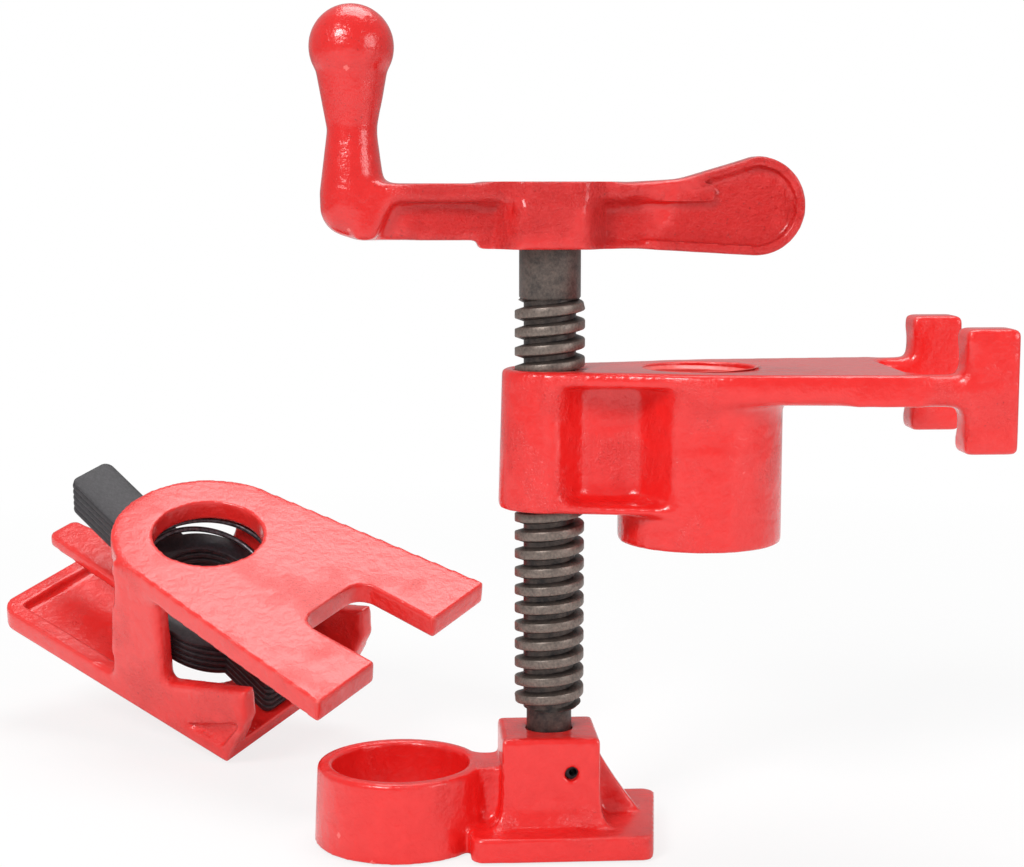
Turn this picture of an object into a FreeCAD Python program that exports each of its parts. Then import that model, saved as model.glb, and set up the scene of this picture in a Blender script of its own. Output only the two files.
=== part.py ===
import FreeCAD, Part
import math
import os
import re
import Sketcher

# Woodworking pipe clamp: head, screw and crank, moving jaw, and the loose tail stop.
# Row frame: millimetres, Z up along the screw, Z = 0 the bench under the jaw, X towards the head's feet.

doc = FreeCAD.newDocument("pipe_clamp")
sheet = doc.addObject("Spreadsheet::Sheet", "Sizes")

DRIVING_SIZES = [
    ("casting_gap", 0.3, "gap left where a loose piece lies on a casting"),
    ("running_gap", 0.08, "radial clearance of the screw in its bores"),
    ("pipe_offset", 34.6, "screw axis to pipe axis"),
    ("pipe_bore", 12.45, "radius of the head's pipe hole, at the thread's crest"),
    ("screw_radius", 8.0, "crest radius of the screw"),
    ("shank_radius", 7.0, "smooth shank under the crank"),
    ("neck_radius", 5.2, "turned neck in the jaw's socket"),
    ("groove_radius", 2.9, "groove that the retaining pin runs in"),
    ("thread_start", 30.8, "height of the thread's lower end"),
    ("thread_end", 125.8, "height of the thread's upper end"),
    ("screw_chamfer", 1.2, "chamfer at both ends of the thread"),
    ("spigot_length", 11.0, "length of the screw inside the crank hub"),
    ("head_top", 109.6, "height of the head's upper face"),
    ("head_depth", 32.0, "height of the head's screw hub"),
    ("hub_top_radius", 10.9, "head hub at its upper face"),
    ("hub_low_radius", 11.8, "head hub at its lower face"),
    ("boss_radius", 18.8, "pipe boss"),
    ("boss_depth", 40.1, "height of the pipe boss"),
    ("boss_flare", 1.6, "fillet under the plate round the boss"),
    ("plate_thick", 7.0, "head plate"),
    ("shoulder_reach", 38.0, "where the plate's edge turns"),
    ("shoulder_half", 21.6, "half width of the plate there"),
    ("feet_reach", 100.55, "screw axis to the end of the feet"),
    ("feet_half", 26.9, "half width over the feet"),
    ("foot_wide", 9.2, "foot, across"),
    ("foot_long", 11.9, "foot, along the plate"),
    ("foot_rise", 10.2, "foot above the plate"),
    ("foot_drop", 17.4, "foot below the plate's upper face"),
    ("notch_reach", 79.0, "screw axis to the bottom of the notch"),
    ("notch_corner", 5.0, "corner radius of the notch"),
    ("cast_edge", 1.0, "small edge radius on the castings"),
    ("pocket_left", 1.0, "side pocket of the head, end at the hub"),
    ("pocket_right", 27.0, "side pocket, end at the boss"),
    ("pocket_lid", 3.6, "metal above the side pocket"),
    ("pocket_sill", 2.4, "metal below the side pocket"),
    ("pocket_slope_left", 6.0, "how far the pocket's left wall runs in on its way to the web"),
    ("pocket_slope_right", 7.0, "the same for its right wall"),
    ("head_web", 5.2, "half thickness of the head's web between the pockets"),
    ("pocket_round", 4.0, "radius of the pocket's upright corners"),
    ("jaw_thick", 5.6, "base plate of the moving jaw"),
    ("jaw_left", 19.0, "jaw plate, screw axis to its left end"),
    ("jaw_right", 22.0, "jaw plate, screw axis to its right end in front"),
    ("jaw_skew", 5.0, "how much further the right end reaches at the back"),
    ("jaw_front", 20.5, "jaw plate, screw axis to its front"),
    ("jaw_back", 16.0, "jaw plate, screw axis to its back"),
    ("jaw_corner", 3.0, "corner radius of the jaw plate"),
    ("ring_bore", 15.7, "jaw ring, inner radius"),
    ("ring_top_radius", 19.2, "jaw ring, outer radius at its rim"),
    ("ring_low_radius", 19.95, "jaw ring, outer radius at the bench"),
    ("ring_tall", 18.2, "jaw ring, height"),
    ("socket_tall", 26.0, "socket block, height"),
    ("socket_left", 11.5, "socket block, screw axis to its left face"),
    ("socket_right", 10.8, "socket block, screw axis to its right face"),
    ("socket_front", 12.0, "socket block, screw axis to its front face"),
    ("socket_back", 8.5, "socket block, screw axis to its back face"),
    ("socket_flare", 3.0, "how much the block widens down to the bench"),
    ("socket_floor", 6.0, "metal under the screw's tip"),
    ("pin_radius", 1.7, "retaining roll pin"),
    ("pin_hollow", 0.9, "bore of the roll pin"),
    ("pin_offset", 4.7, "screw axis to the pin's axis"),
    ("pin_height", 17.7, "height of the pin's axis"),
    ("pin_setback", 2.0, "pin end below the block's faces"),
    ("link_half", 7.5, "half width of the web from ring to block"),
    ("link_tall", 18.0, "height of that web"),
    ("rib_thick", 4.0, "triangular rib beside the socket"),
    ("rib_tall", 20.5, "height of that rib"),
    ("rib_reach", 21.5, "screw axis to the foot of that rib"),
    ("crank_height", 136.6, "underside of the crank hub"),
    ("hub_half", 12.0, "half size of the crank hub"),
    ("hub_tall", 15.0, "crank hub, height"),
    ("hub_flank", 4.5, "how far the hub's flanks slope out to the web"),
    ("arm_low", 1.9, "arm's underside above the hub's"),
    ("arm_top", 14.6, "arm's upper edge above the hub's underside"),
    ("flange_thick", 4.2, "upper flange of the arm"),
    ("flange_half", 7.0, "half width of the flange"),
    ("web_half", 3.0, "half thickness of the crank's web"),
    ("recess_low", 5.0, "grip axis to the lower end of the arm's recess"),
    ("recess_top", 9.0, "grip axis to the upper end of the arm's recess"),
    ("grip_offset", 44.3, "screw axis to the grip's axis"),
    ("grip_low", 2.4, "bottom of the grip above the hub's underside"),
    ("grip_foot_radius", 7.4, "grip just above the arm"),
    ("grip_foot_height", 12.5, "height of that place"),
    ("grip_foot_turn", 10.0, "how far below its middle the foot's ball ends, degrees"),
    ("grip_waist_radius", 5.6, "waist of the grip"),
    ("grip_waist_height", 26.4, "height of the waist"),
    ("knob_radius", 9.5, "knob of the grip"),
    ("knob_height", 44.6, "height of the knob's centre"),
    ("knob_turn", 33.0, "how far below its middle the knob's ball ends, degrees"),
    ("paddle_neck", 19.0, "screw axis to where the paddle starts"),
    ("paddle_reach", 57.4, "screw axis to the paddle's end"),
    ("paddle_top", 20.7, "top of the paddle above the hub's underside"),
    ("paddle_low", 1.6, "bottom of the paddle below the hub's underside"),
    ("paddle_shoulder", 10.0, "paddle's start to its upper shoulder"),
    ("paddle_step", 1.0, "height of that shoulder above the arm"),
    ("paddle_half", 4.5, "half thickness of the paddle's rim"),
    ("paddle_rim", 2.2, "width of that rim"),
    ("paddle_web", 2.4, "half thickness of the paddle inside the rim"),
    ("rib_end", 37.0, "screw axis to the end of the paddle's rib"),
    ("tail_x", -85.1, "tail stop's pipe axis at its upper face"),
    ("tail_y", 77.7, "the same, away from the camera side"),
    ("tail_yaw", -36.5, "turn of the tail stop about Z, degrees"),
    ("tail_pitch", 18.0, "lean of the tail stop towards its feet, degrees"),
    ("tail_roll", 18.05, "lean of the tail stop to its near side, degrees"),
    ("tail_bore", 14.6, "tail stop's pipe holes"),
    ("tail_thick", 6.4, "tail stop's upper plate"),
    ("tail_arch", 25.6, "radius of the upper plate round the pipe"),
    ("tail_feet", 68.2, "pipe axis to the end of the tail's feet"),
    ("tail_feet_half", 32.8, "half width over the tail's feet"),
    ("tail_notch_half", 11.5, "half width of the notch"),
    ("tail_notch_deep", 25.0, "depth of the notch"),
    ("tail_notch_corner", 5.0, "corner radius of the notch"),
    ("spring_room", 11.73, "upper plate to the clutch plates, along the pipe's axis"),
    ("tail_jaw_thick", 6.3, "tail jaw plate"),
    ("tail_jaw_left", 57.4, "pipe axis to the outer end of the tail jaw"),
    ("tail_jaw_right", 31.3, "pipe axis to the inner end of the tail jaw"),
    ("tail_jaw_corner", 6.0, "outer corner radius of the tail jaw"),
    ("clutch_play", 1.1, "gap from the clutch plates' round middle to a side wall"),
    ("tail_wall", 5.0, "side walls"),
    ("post_left", 10.1, "pipe axis to the post's outer edge"),
    ("post_right", 5.9, "pipe axis to the post's inner edge"),
    ("window_low", 31.8, "window's lower corner below the upper face"),
    ("window_slope", 2.4, "how far the post widens down to that corner"),
    ("cheek_reach", 38.0, "pipe axis to the end of the cheeks"),
    ("cheek_top", 19.0, "cheeks' upper corner below the upper face"),
    ("cheek_end", 28.0, "lower end of the cheeks' outer edge"),
    ("tray_rim", 5.0, "rim round the tail jaw's recess"),
    ("tray_deep", 2.5, "depth of that recess"),
    ("gusset_deep", 2.0, "depth of the triangular hollow in the cheeks"),
    ("gusset_base", 16.0, "inner end of the jaw plate to the hollow's far corner"),
    ("gusset_edge", 2.0, "metal left beside that hollow"),
    ("thumb_reach", 58.4, "pipe axis to the end of the thumb rest"),
    ("thumb_rise", 19.9, "thumb rest's upper side above the tail jaw's work face"),
    ("thumb_thick", 4.0, "thumb rest"),
    ("thumb_end_half", 5.0, "thumb rest, half width at its end"),
    ("thumb_root_half", 8.0, "thumb rest, half width near the cross bar"),
    ("thumb_taper", 4.0, "length over which it widens to the cross bar"),
    ("thumb_corner", 2.0, "corner radius of the thumb rest"),
    ("bar_half", 14.0, "half length of the cross bar that the clutch plates rock on"),
    ("bar_wide", 4.5, "width of that bar"),
    ("clutch_tilt", 20.5, "tilt of the clutch plates at rest, degrees"),
    ("clutch_count", 5, "clutch plates"),
    ("clutch_thick", 1.8, "one clutch plate"),
    ("clutch_bore", 13.8, "pipe hole of a clutch plate"),
    ("clutch_disc", 19.5, "round middle of a clutch plate"),
    ("clutch_tab", 49.5, "pipe axis to the end of the tab"),
    ("clutch_tab_half", 7.0, "half width of the tab"),
    ("clutch_toe", 33.0, "pipe axis to the end of the toe"),
    ("clutch_toe_half", 10.0, "half width of the toe"),
    ("clutch_corner", 2.5, "corner radius of a clutch plate"),
    ("spring_wire", 1.5, "spring wire diameter"),
    ("spring_coil", 17.2, "spring, pipe axis to the wire's centre"),
    ("spring_turns", 1.5, "turns of the spring"),
]
# Sizes that follow from those above
DERIVED_SIZES = [
    ("tail_half", "clutch_disc + clutch_play + tail_wall", "half width of the tail stop's side walls"),
    ("clutch_stack", "clutch_count * clutch_thick / cos(clutch_tilt)", "clutch plates, along the pipe's axis"),
    ("clutch_seat", "tail_jaw_thick + casting_gap + clutch_toe * sin(clutch_tilt)",
     "underside of the first clutch plate above the tail jaw's work face, at the pipe's axis"),
    ("tail_tall", "tail_thick + spring_room + clutch_stack + clutch_seat", "tail stop, height along the pipe"),
    ("thumb_drop", "tail_tall - thumb_rise", "thumb rest's upper side below the upper face"),
]
aliases = {entry[0] for entry in DRIVING_SIZES + DERIVED_SIZES}
for row, (name, value, note) in enumerate(DRIVING_SIZES, start=1):
    sheet.set("A%d" % row, note)
    sheet.set("B%d" % row, str(value))
    sheet.setAlias("B%d" % row, name)
for row, (name, formula, note) in enumerate(DERIVED_SIZES, start=len(DRIVING_SIZES) + 1):
    sheet.set("A%d" % row, note)
    sheet.set("B%d" % row, "=" + formula)
    sheet.setAlias("B%d" % row, name)
doc.recompute()


def linked(text):
    """The expression with each size's name led by the sheet's name."""
    return re.sub(r"[a-z]\w*", lambda word: "Sizes." + word[0] if word[0] in aliases else word[0], text)


def size(text):
    """The number that an expression of sizes gives now."""
    return float(sheet.evalExpression(linked(text)))


def bind(item, path, text):
    item.setExpression(path, linked(text))


def place(item, x="0", y="0", z="0", turn="0; 0; 0", carrier=""):
    """Binds an object's placement to the sizes, in the row frame or on a carrier's placement."""
    own = "placement(vector(%s; %s; %s); rotation(%s))" % (x, y, z, turn)
    bind(item, "Placement", carrier + " * " + own if carrier else own)


def new_body(name):
    body = doc.addObject("PartDesign::Body", name)
    body.Label = name
    return body


def new_sketch(body, name, plane, x="0", y="0", z="0"):
    """A sketch on one of the body's own origin planes, moved by x, y and z in that plane's axes."""
    sketch = body.newObject("Sketcher::SketchObject", name)
    origin_plane = [item for item in body.Origin.OriginFeatures if item.Role == plane + "_Plane"][0]
    sketch.AttachmentSupport = [(origin_plane, "")]
    sketch.MapMode = "FlatFace"
    for axis, offset in zip("xyz", (x, y, z)):
        if offset != "0":
            bind(sketch, "AttachmentOffset.Base." + axis, offset)
    return sketch


def fix_point(sketch, shape, end, x, y):
    """Ties one point of a sketch's shape to the sketch's origin by two bound distances."""
    for kind, text in (("DistanceX", x), ("DistanceY", y)):
        if text is not None:
            index = sketch.addConstraint(Sketcher.Constraint(kind, -1, 1, shape, end, size(text)))
            bind(sketch, "Constraints[%d]" % index, text)


def draw_circle(sketch, radius, x="0", y="0"):
    centre = FreeCAD.Vector(size(x), size(y), 0)
    shape = sketch.addGeometry(Part.Circle(centre, FreeCAD.Vector(0, 0, 1), size(radius)), False)
    index = sketch.addConstraint(Sketcher.Constraint("Radius", shape, size(radius)))
    bind(sketch, "Constraints[%d]" % index, radius)
    fix_point(sketch, shape, 3, x, y)


def draw_outline(sketch, path):
    """A closed outline. A corner is (x, y); between two corners ("arc", x, y, fixed, turn) makes an arc.

    The arc's centre is near x, y, of which the coordinate called fixed is bound, and turn is +1 for
    anticlockwise. The first entry is a corner.
    """
    corners = [step for step in path if step[0] != "arc"]
    arcs = {}
    seen = -1
    for step in path:
        if step[0] == "arc":
            arcs[seen] = step
        else:
            seen += 1
    first_ends = []
    last_ends = []
    for index, corner in enumerate(corners):
        following = corners[(index + 1) % len(corners)]
        start = FreeCAD.Vector(size(corner[0]), size(corner[1]), 0)
        stop = FreeCAD.Vector(size(following[0]), size(following[1]), 0)
        if index not in arcs:
            shape = sketch.addGeometry(Part.LineSegment(start, stop), False)
            first_ends.append((shape, 1))
            last_ends.append((shape, 2))
            continue
        _, x, y, fixed, turn = arcs[index]
        centre = FreeCAD.Vector(size(x), size(y), 0)
        angle_a = math.atan2(start.y - centre.y, start.x - centre.x)
        angle_b = math.atan2(stop.y - centre.y, stop.x - centre.x)
        circle = Part.Circle(centre, FreeCAD.Vector(0, 0, 1), (start - centre).Length)
        if turn < 0:
            angle_a, angle_b = angle_b, angle_a
        if angle_b < angle_a:
            angle_b += 2 * math.pi
        shape = sketch.addGeometry(Part.ArcOfCircle(circle, angle_a, angle_b), False)
        fix_point(sketch, shape, 3, x if fixed == "x" else None, y if fixed == "y" else None)
        first_ends.append((shape, 1 if turn > 0 else 2))
        last_ends.append((shape, 2 if turn > 0 else 1))
    for index, corner in enumerate(corners):
        fix_point(sketch, first_ends[index][0], first_ends[index][1], corner[0], corner[1])
        before = last_ends[index - 1]
        sketch.addConstraint(Sketcher.Constraint("Coincident", *before, *first_ends[index]))


def extrude(body, kind, name, sketch, length, side="One side", reverse=False):
    """A Pad or Pocket of the sketch with a bound length."""
    feature = body.newObject("PartDesign::" + kind, name)
    feature.Profile = sketch
    feature.SideType = side
    feature.Reversed = reverse
    bind(feature, "Length", length)
    sketch.Visibility = False
    return feature


def revolve(body, name, sketch):
    """A full turn of the sketch about its own upright axis."""
    feature = body.newObject("PartDesign::Revolution", name)
    feature.Profile = sketch
    feature.ReferenceAxis = (sketch, ["V_Axis"])
    feature.Angle = 360
    return feature


def round_edges(body, name, radius, chosen):
    """A fillet on the edges of the body's last feature for which chosen(edge) is true."""
    doc.recompute()
    base = body.Tip
    names = ["Edge%d" % number for number, edge in enumerate(base.Shape.Edges, start=1) if chosen(edge)]
    if not names:
        raise RuntimeError(name + ": no edge to round")
    feature = body.newObject("PartDesign::Fillet", name)
    feature.Base = (base, names)
    bind(feature, "Radius", radius)
    doc.recompute()
    return feature


def upright_at(*spots):
    """Picks straight edges along Z at the given places."""
    places = [(size(x), size(y)) for x, y in spots]

    def chosen(edge):
        if not isinstance(edge.Curve, Part.Line):
            return False
        a, b = edge.Vertexes[0].Point, edge.Vertexes[-1].Point
        if math.hypot(a.x - b.x, a.y - b.y) > 0.01:
            return False
        return any(math.hypot(a.x - x, a.y - y) < 0.05 for x, y in places)
    return chosen


def both_sides(spots):
    return [(x, sign + "(" + y + ")") for x, y in spots for sign in ("", "-")]


# Moving jaw: ring, base plate, socket block, web and rib
def make_moving_jaw():
    body = new_body("moving_jaw")
    plan = new_sketch(body, "jaw_plan", "XY")
    draw_outline(plan, [("-jaw_left", "-jaw_front"), ("jaw_right", "-jaw_front"),
                        ("jaw_right + jaw_skew", "jaw_back"), ("-jaw_left", "jaw_back")])
    extrude(body, "Pad", "jaw_plate", plan, "jaw_thick")
    round_edges(body, "jaw_plate_corners", "jaw_corner", upright_at(
        ("-jaw_left", "-jaw_front"), ("jaw_right", "-jaw_front"),
        ("jaw_right + jaw_skew", "jaw_back"), ("-jaw_left", "jaw_back")))
    wall = new_sketch(body, "ring_wall", "XZ", x="-pipe_offset")
    shoulder = "ring_top_radius - cast_edge"
    draw_outline(wall, [
        ("ring_bore", "0"), ("ring_low_radius", "0"), ("ring_top_radius", "ring_tall - cast_edge"),
        ("arc", shoulder, "ring_tall - cast_edge", "y", 1), (shoulder, "ring_tall"),
        ("ring_bore + 0.6 * cast_edge", "ring_tall"), ("ring_bore", "ring_tall - 0.6 * cast_edge")])
    revolve(body, "ring", wall)
    low = new_sketch(body, "socket_foot", "XY")
    top = new_sketch(body, "socket_top", "XY", z="socket_tall")
    for sketch, spread in ((low, "socket_flare"), (top, "0")):
        left, right = "-socket_left - " + spread, "socket_right + " + spread
        front, back = "-socket_front - " + spread, "socket_back + " + spread
        draw_outline(sketch, [(left, front), (right, front), (right, back), (left, back)])
    block = body.newObject("PartDesign::AdditiveLoft", "socket_block")
    block.Profile = low
    block.Sections = [top]
    web = new_sketch(body, "link_side", "XZ")
    draw_outline(web, [("-pipe_offset + ring_bore + 2", "0"), ("-socket_left + 1", "0"),
                       ("-socket_left + 1", "link_tall"), ("-pipe_offset + ring_bore + 2", "link_tall")])
    extrude(body, "Pad", "link_web", web, "2 * link_half", side="Symmetric")
    gusset = new_sketch(body, "rib_side", "XZ")
    draw_outline(gusset, [("socket_right - 1", "0"), ("rib_reach", "0"), ("rib_reach", "jaw_thick - 0.5"),
                          ("socket_right + 1", "rib_tall"), ("socket_right - 1", "rib_tall")])
    extrude(body, "Pad", "rib", gusset, "rib_thick", side="Symmetric")
    pipe = new_sketch(body, "ring_hole", "XY", z="ring_tall")
    draw_circle(pipe, "ring_bore", x="-pipe_offset")
    extrude(body, "Pocket", "ring_through", pipe, "ring_tall")
    neck = new_sketch(body, "socket_circle", "XY", z="socket_tall")
    draw_circle(neck, "neck_radius + running_gap")
    extrude(body, "Pocket", "socket_bore", neck, "socket_tall - socket_floor")
    cross = new_sketch(body, "pin_circle", "XZ")
    draw_circle(cross, "pin_radius", x="pin_offset", y="pin_height")
    extrude(body, "Pocket", "pin_hole", cross, "4 * socket_front", side="Symmetric")
    block_top = size("socket_tall")

    def block_rim(edge):
        box = edge.BoundBox
        return abs(box.ZMin - block_top) < 0.01 and box.ZLength < 0.01 and not isinstance(edge.Curve, Part.Circle)
    round_edges(body, "socket_rim_round", "1.2 * cast_edge", block_rim)
    return body


# Retaining pin: a hollow roll pin pressed across the socket, tangent to the screw's groove
def make_retaining_pin():
    rod = doc.addObject("Part::Cylinder", "pin_rod")
    bore = doc.addObject("Part::Cylinder", "pin_bore")
    bind(rod, "Radius", "pin_radius")
    bind(bore, "Radius", "pin_hollow")
    for item in (rod, bore):
        bind(item, "Height", "socket_front + socket_back - 2 * pin_setback")
        place(item, x="pin_offset", y="socket_back - pin_setback", z="pin_height", turn="0; 0; 90")
    pin = doc.addObject("Part::Cut", "retaining_pin")
    pin.Base = rod
    pin.Tool = bore
    pin.Label = "retaining_pin"
    return pin


# Screw: neck with its groove, threaded length drawn at its crest, shank and spigot
def make_screw():
    body = new_body("screw")
    half = new_sketch(body, "screw_half", "XZ")
    groove = "pin_radius + running_gap"
    draw_outline(half, [
        ("0", "socket_floor + casting_gap"), ("neck_radius - 1", "socket_floor + casting_gap"),
        ("neck_radius", "socket_floor + casting_gap + 1"), ("neck_radius", "pin_height - (%s)" % groove),
        ("groove_radius", "pin_height - (%s)" % groove), ("groove_radius", "pin_height + %s" % groove),
        ("neck_radius", "pin_height + %s" % groove), ("neck_radius", "thread_start"),
        ("screw_radius - screw_chamfer", "thread_start"),
        ("screw_radius", "thread_start + screw_chamfer"), ("screw_radius", "thread_end - screw_chamfer"),
        ("shank_radius", "thread_end"), ("shank_radius", "crank_height"),
        ("neck_radius", "crank_height"), ("neck_radius", "crank_height + spigot_length"),
        ("0", "crank_height + spigot_length")])
    revolve(body, "screw_turned", half)
    return body


PADDLE_MIDDLE = "(paddle_reach - (paddle_top + paddle_low) / 2)"


# Crank handle: hub, arm with upper flange, upright grip, paddle, all one casting
def make_crank_handle():
    body = new_body("crank_handle")
    place(body, z="crank_height")
    hub = new_sketch(body, "hub_plan", "XY")
    slope = "hub_half + hub_flank"
    draw_outline(hub, [("-hub_half", "-hub_half"), ("hub_half", "-hub_half"), (slope, "-web_half"),
                       (slope, "web_half"), ("hub_half", "hub_half"), ("-hub_half", "hub_half"),
                       ("-(%s)" % slope, "web_half"), ("-(%s)" % slope, "-web_half")])
    extrude(body, "Pad", "hub", hub, "hub_tall")
    arm = new_sketch(body, "arm_side", "XZ")
    draw_outline(arm, [("-grip_offset", "arm_low"), ("0", "arm_low"), ("0", "arm_top"),
                       ("-grip_offset", "arm_top")])
    extrude(body, "Pad", "arm_web", arm, "2 * web_half", side="Symmetric")
    flange = new_sketch(body, "flange_side", "XZ")
    draw_outline(flange, [("-grip_offset", "arm_low"), ("-grip_offset + recess_low", "arm_low"),
                          ("-grip_offset + recess_top", "arm_top - flange_thick"),
                          ("rib_end", "arm_top - flange_thick"),
                          ("rib_end", "arm_top"), ("-grip_offset", "arm_top")])
    extrude(body, "Pad", "flange", flange, "2 * flange_half", side="Symmetric")
    paddle = new_sketch(body, "paddle_side", "XZ")
    middle = "(paddle_top - paddle_low) / 2"
    draw_outline(paddle, [
        ("hub_half", "0"), ("paddle_neck", "0"), (PADDLE_MIDDLE, "-paddle_low"),
        ("arc", PADDLE_MIDDLE, middle, "x", 1), (PADDLE_MIDDLE, "paddle_top"),
        ("paddle_neck + paddle_shoulder", "arm_top + paddle_step"), ("hub_half", "arm_top")])
    extrude(body, "Pad", "paddle_rim", paddle, "2 * paddle_half", side="Symmetric")
    for side, name in (("", "front"), ("back", "back")):
        hollow = new_sketch(body, "paddle_hollow_" + name, "XZ",
                            z="-paddle_half" if side else "paddle_web")
        draw_outline(hollow, [
            ("paddle_neck", "paddle_rim"), (PADDLE_MIDDLE, "-paddle_low + paddle_rim"),
            ("arc", PADDLE_MIDDLE, middle, "x", 1), (PADDLE_MIDDLE, "paddle_top - paddle_rim"),
            ("paddle_neck + paddle_shoulder", "arm_top + paddle_step - paddle_rim"),
            ("paddle_neck", "arm_top - paddle_rim")])
        extrude(body, "Pocket", "paddle_pocket_" + name, hollow, "paddle_half - paddle_web", reverse=True)
    rib = new_sketch(body, "paddle_rib_side", "XZ")
    draw_outline(rib, [("hub_half", "arm_top - flange_thick"), ("rib_end", "arm_top - 0.8 * flange_thick"),
                       ("rib_end", "arm_top - 0.4 * flange_thick"), ("hub_half", "arm_top")])
    extrude(body, "Pad", "paddle_rib", rib, "2 * paddle_half", side="Symmetric")
    grip = new_sketch(body, "grip_half", "XZ", x="-grip_offset")
    draw_outline(grip, [
        ("0", "grip_low"), ("arc", "0", "grip_low + grip_foot_radius", "x", 1),
        ("grip_foot_radius * cos(grip_foot_turn)", "grip_low + grip_foot_radius * (1 - sin(grip_foot_turn))"),
        ("grip_foot_radius", "grip_foot_height"),
        ("grip_waist_radius", "grip_waist_height"),
        ("knob_radius * cos(knob_turn)", "knob_height - knob_radius * sin(knob_turn)"),
        ("arc", "0", "knob_height", "x", 1), ("0", "knob_height + knob_radius")])
    revolve(body, "grip", grip)
    spigot = new_sketch(body, "spigot_circle", "XY")
    draw_circle(spigot, "neck_radius")
    extrude(body, "Pocket", "spigot_hole", spigot, "spigot_length", reverse=True)
    return body


# Head casting: hub, plate, pipe boss, side pockets, notch and two feet
def make_head_casting():
    body = new_body("head_casting")
    place(body, z="head_top")
    outline = new_sketch(body, "plate_plan", "XY")
    draw_outline(outline, [
        ("0", "-hub_top_radius"), ("shoulder_reach", "-shoulder_half"), ("feet_reach", "-feet_half"),
        ("feet_reach", "feet_half"), ("shoulder_reach", "shoulder_half"), ("0", "hub_top_radius")])
    extrude(body, "Pad", "plate", outline, "plate_thick", reverse=True)
    spread = "asin((boss_radius - hub_low_radius) / pipe_offset)"
    near_x, near_y = "-hub_low_radius * sin(%s)" % spread, "hub_low_radius * cos(%s)" % spread
    far_x = "pipe_offset - boss_radius * sin(%s)" % spread
    far_y = "boss_radius * cos(%s)" % spread
    hull = new_sketch(body, "block_plan", "XY")
    draw_outline(hull, [(near_x, "-" + near_y), (far_x, "-" + far_y), (far_x, far_y), (near_x, near_y)])
    extrude(body, "Pad", "block", hull, "head_depth", reverse=True)
    hub = new_sketch(body, "hub_half_side", "XZ")
    draw_outline(hub, [("0", "0"), ("0", "-head_depth"), ("hub_low_radius", "-head_depth"),
                       ("hub_top_radius", "0")])
    revolve(body, "screw_hub", hub)
    boss = new_sketch(body, "boss_half_side", "XZ", x="pipe_offset")
    draw_outline(boss, [
        ("0", "0"), ("0", "-boss_depth"), ("boss_radius", "-boss_depth"),
        ("boss_radius", "-plate_thick - boss_flare"),
        ("arc", "boss_radius + boss_flare", "-plate_thick - boss_flare", "y", -1),
        ("boss_radius + boss_flare", "-plate_thick"), ("boss_radius + boss_flare", "0")])
    revolve(body, "pipe_boss", boss)
    pockets = new_sketch(body, "pocket_plan", "XY", z="-pocket_lid")
    for sign in ("", "-"):
        draw_outline(pockets, [
            ("pocket_left", sign + "(2 * boss_radius)"), ("pocket_left", sign + "hub_low_radius"),
            ("pocket_left + pocket_slope_left", sign + "head_web"),
            ("pocket_right - pocket_slope_right", sign + "head_web"),
            ("pocket_right", sign + "boss_radius"), ("pocket_right", sign + "(2 * boss_radius)")])
    extrude(body, "Pocket", "side_pockets", pockets, "head_depth - pocket_lid - pocket_sill")
    round_edges(body, "side_pocket_rounds", "pocket_round", upright_at(*both_sides(
        [("pocket_left + pocket_slope_left", "head_web"), ("pocket_right - pocket_slope_right", "head_web")])))
    feet = new_sketch(body, "feet_side", "XZ", z="feet_half")
    draw_outline(feet, [("feet_reach - foot_long", "-foot_drop"), ("feet_reach", "-foot_drop"),
                        ("feet_reach", "foot_rise"), ("feet_reach - foot_long", "foot_rise")])
    extrude(body, "Pad", "front_foot", feet, "foot_wide", reverse=True)
    rear = new_sketch(body, "rear_foot_side", "XZ", z="-feet_half")
    draw_outline(rear, [("feet_reach - foot_long", "-foot_drop"), ("feet_reach", "-foot_drop"),
                        ("feet_reach", "foot_rise"), ("feet_reach - foot_long", "foot_rise")])
    extrude(body, "Pad", "rear_foot", rear, "foot_wide")
    notch = new_sketch(body, "notch_plan", "XY")
    inner = "(feet_half - foot_wide)"
    draw_outline(notch, [("notch_reach", "-" + inner), ("feet_reach + 5", "-" + inner),
                         ("feet_reach + 5", inner), ("notch_reach", inner)])
    extrude(body, "Pocket", "notch", notch, "plate_thick")
    round_edges(body, "notch_rounds", "notch_corner", upright_at(*both_sides([("notch_reach", inner)])))
    holes = new_sketch(body, "head_holes", "XY")
    draw_circle(holes, "screw_radius + running_gap")
    draw_circle(holes, "pipe_bore", x="pipe_offset")
    extrude(body, "Pocket", "head_bores", holes, "boss_depth")
    reach, long = size("feet_reach"), size("foot_long")
    rise, drop = size("foot_rise"), size("foot_drop")

    def foot_edge(edge):
        box = edge.BoundBox
        at_end = box.XLength < 0.01 and (abs(box.XMin - reach) < 0.01 or abs(box.XMin - reach + long) < 0.01)
        along = box.XLength > 1 and (abs(box.ZMin - rise) < 0.01 or abs(box.ZMin + drop) < 0.01)
        return (at_end and box.YLength > 1 and (abs(box.ZMin - rise) < 0.01 or abs(box.ZMin + drop) < 0.01)) \
            or (along and box.ZLength < 0.01)
    round_edges(body, "feet_rounds", "cast_edge", foot_edge)
    return body


# Tail stop casting: upper plate, jaw plate, side walls with windows, cross bar and thumb rest
TAIL_LOWEST = ("(tail_jaw_right * sin(tail_pitch) + tail_half * cos(tail_pitch) * sin(tail_roll)"
               " + tail_tall * cos(tail_pitch) * cos(tail_roll))")
TAIL = "placement(vector(tail_x; tail_y; %s); rotation(tail_yaw; tail_pitch; tail_roll))" % TAIL_LOWEST
SEAT = "(clutch_seat - tail_tall)"
BAR_EDGE = "(tail_bore + 0.5)"
BAR_TOP = "(%s + %s * tan(clutch_tilt) - casting_gap)" % (SEAT, BAR_EDGE)


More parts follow.
